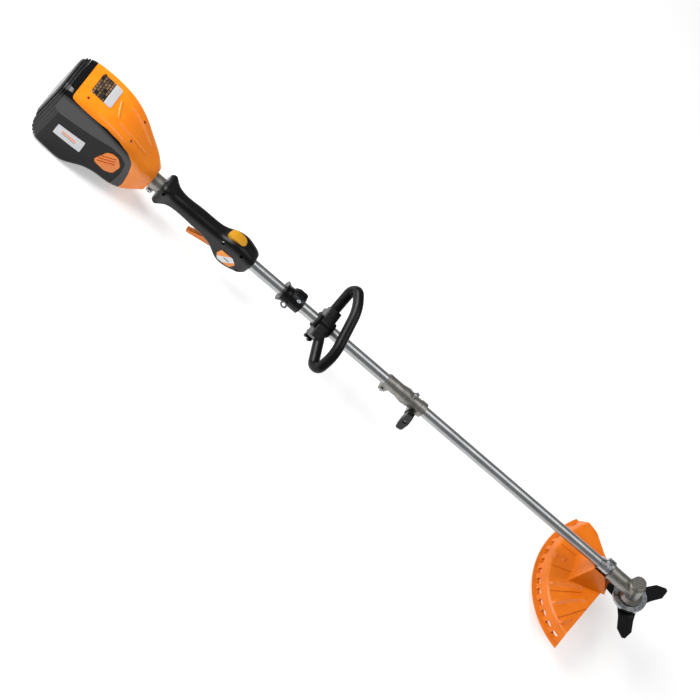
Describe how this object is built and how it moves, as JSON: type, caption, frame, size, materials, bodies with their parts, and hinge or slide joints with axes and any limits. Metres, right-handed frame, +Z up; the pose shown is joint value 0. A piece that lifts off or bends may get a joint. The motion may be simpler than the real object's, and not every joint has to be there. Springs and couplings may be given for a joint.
{
  "type": "brush cutter",
  "caption": "Battery brush cutter with a split shaft: slide-in battery, trigger grip, loop handle, clamped coupling, bevel gear head, guard and steel blade.",
  "frame": {"origin": "centre of the battery's flat base, on the floor", "axes": "+X runs forward towards the blade, level with the floor; +Y to the operator's left; +Z up; the shaft itself rises forward by 2.64 degrees as the machine lies on its battery and guard"},
  "size_m": [1.8184, 0.3469, 0.2051],
  "materials": {
    "cover_orange": "moulded ABS, semi-gloss orange",
    "guard_orange": "moulded polypropylene, satin orange",
    "housing_black": "moulded ABS, polished black",
    "plate_dark": "printed blank plate, dark over pale grey",
    "screw_steel": "zinc-plated screws",
    "cast_aluminium": "sand-blasted die casting",
    "motor_steel": "turned steel can",
    "motor_lamination": "lacquered laminations",
    "bearing_steel": "ground bearing steel",
    "inner_black": "moulded nylon",
    "circuit_green": "coated circuit board",
    "battery_charcoal": "moulded ABS, fine-textured charcoal",
    "cell_wrap": "shrink-wrapped cells, mean density near aluminium",
    "contact_brass": "stamped contacts",
    "badge_pale": "blank pale badge",
    "button_orange": "moulded ABS, satin orange",
    "grip_black": "moulded glass-filled nylon, black",
    "button_amber": "moulded ABS, amber",
    "tube_aluminium": "drawn tube, clear anodised",
    "shaft_steel": "ground steel",
    "bush_nylon": "moulded nylon",
    "liner_rubber": "moulded rubber",
    "loop_black": "moulded polypropylene, black",
    "zinc_steel": "bright zinc plate",
    "knob_black": "moulded nylon, black",
    "gear_case_cast": "die-cast, warm grey",
    "gear_steel": "hardened steel",
    "blade_black": "black oxide painted steel"
  },
  "bodies": {
    "machine": {"head_cover": "cover_orange", "housing_left": "housing_black", "housing_right": "housing_black", "cover_plate": "plate_dark", "head_screws": "screw_steel", "motor_bracket": "cast_aluminium", "motor_can": "motor_steel", "motor_stator": "motor_lamination", "motor_bearings": "bearing_steel", "control_board": "circuit_green", "battery_socket": "inner_black", "grip_left": "grip_black", "grip_right": "grip_black", "grip_screws": "screw_steel", "grip_badges": "badge_pale", "trigger_pin": "screw_steel", "trigger_switch": "inner_black", "upper_tube": "tube_aluminium", "lower_tube": "tube_aluminium", "upper_bushes": "bush_nylon", "lower_bushes": "bush_nylon", "harness_collar": "grip_black", "harness_eye": "zinc_steel", "coupling_body": "cast_aluminium", "knob_stud": "zinc_steel", "clamp_screws": "screw_steel", "gear_case": "gear_case_cast", "spindle_cap": "gear_case_cast", "spindle_bearings": "bearing_steel", "pinion_bearings": "bearing_steel", "guard": "guard_orange", "guard_bracket": "zinc_steel", "guard_bolts": "zinc_steel"},
    "battery": {"battery_case": "battery_charcoal", "battery_back": "battery_charcoal", "battery_cells": "cell_wrap", "battery_contacts": "contact_brass", "battery_badges": "badge_pale"},
    "release_left": {"release_button_left": "button_orange"},
    "release_right": {"release_button_right": "button_orange"},
    "trigger": {"trigger": "button_orange"},
    "lock_off": {"lock_off_button": "button_amber"},
    "loop_sleeve": {"loop_liner": "liner_rubber"},
    "loop": {"loop_handle": "loop_black", "loop_clamp": "loop_black", "loop_bolts": "zinc_steel"},
    "loop_knob": {"loop_knob": "loop_black"},
    "coupling_knob": {"coupling_knob": "knob_black"},
    "locking_pin": {"locking_pin": "zinc_steel"},
    "drive": {"motor_rotor": "motor_lamination", "motor_fan": "inner_black", "upper_drive_shaft": "shaft_steel", "lower_drive_shaft": "shaft_steel", "bevel_pinion": "gear_steel"},
    "cutter": {"bevel_gear": "gear_steel", "spindle": "gear_steel", "inner_flange": "zinc_steel", "outer_flange": "zinc_steel", "blade": "blade_black", "blade_nut": "zinc_steel"}
  },
  "joints": [
    {"name": "battery_slide", "type": "slide", "parent": "machine", "child": "battery", "axis": [-0.9675, 0, -0.2527], "range_m": [0, 0.1]},
    {"name": "release_left_press", "type": "slide", "parent": "battery", "child": "release_left", "axis": [0, -1, 0], "range_m": [0, 0.0025], "stiffness_N_per_m": 1500, "springref_m": -0.002},
    {"name": "release_right_press", "type": "slide", "parent": "battery", "child": "release_right", "axis": [0, 1, 0], "range_m": [0, 0.0025], "stiffness_N_per_m": 1500, "springref_m": -0.002},
    {"name": "trigger_squeeze", "type": "hinge", "parent": "machine", "child": "trigger", "pos_m": [0.37534, 0, 0.06636], "axis": [0, 1, 0], "range_deg": [0, 11], "stiffness_Nm_per_rad": 0.6, "springref_deg": -5.73},
    {"name": "lock_off_press", "type": "slide", "parent": "machine", "child": "lock_off", "axis": [0.0461, 0, -0.9989], "range_m": [0, 0.003], "stiffness_N_per_m": 900, "springref_m": -0.002},
    {"name": "loop_slide", "type": "slide", "parent": "machine", "child": "loop_sleeve", "axis": [0.9989, 0, 0.0461], "range_m": [-0.04, 0.12]},
    {"name": "loop_turn", "type": "hinge", "parent": "loop_sleeve", "child": "loop", "pos_m": [0.66161, 0, 0.11059], "axis": [0.9989, 0, 0.0461], "range_deg": [-30, 60]},
    {"name": "loop_knob_turn", "type": "hinge", "parent": "loop", "child": "loop_knob", "pos_m": [0.66341, -0.0127, 0.07161], "axis": [-0.0417, -0.4226, 0.9053], "range_deg": [-360, 0]},
    {"name": "coupling_knob_turn", "type": "hinge", "parent": "machine", "child": "coupling_knob", "pos_m": [0.94664, -0.03, 0.0947], "axis": [0, 1, 0], "range_deg": [-360, 0]},
    {"name": "locking_pin_pull", "type": "slide", "parent": "machine", "child": "locking_pin", "axis": [-0.0461, 0, 0.9989], "range_m": [0, 0.004], "stiffness_N_per_m": 800, "springref_m": -0.004},
    {"name": "cutter_spin", "type": "hinge", "parent": "machine", "child": "cutter", "pos_m": [1.64556, 0, 0.15596], "axis": [-0.4945, 0, 0.8692], "continuous": true},
    {"name": "drive_spin", "type": "hinge", "parent": "machine", "child": "drive", "pos_m": [1.64556, 0, 0.15596], "axis": [0.9989, 0, 0.0461], "continuous": true}
  ],
  "couplings": [
    {"joint": "drive_spin", "follows": "cutter_spin", "ratio": 1.3333}
  ]
}
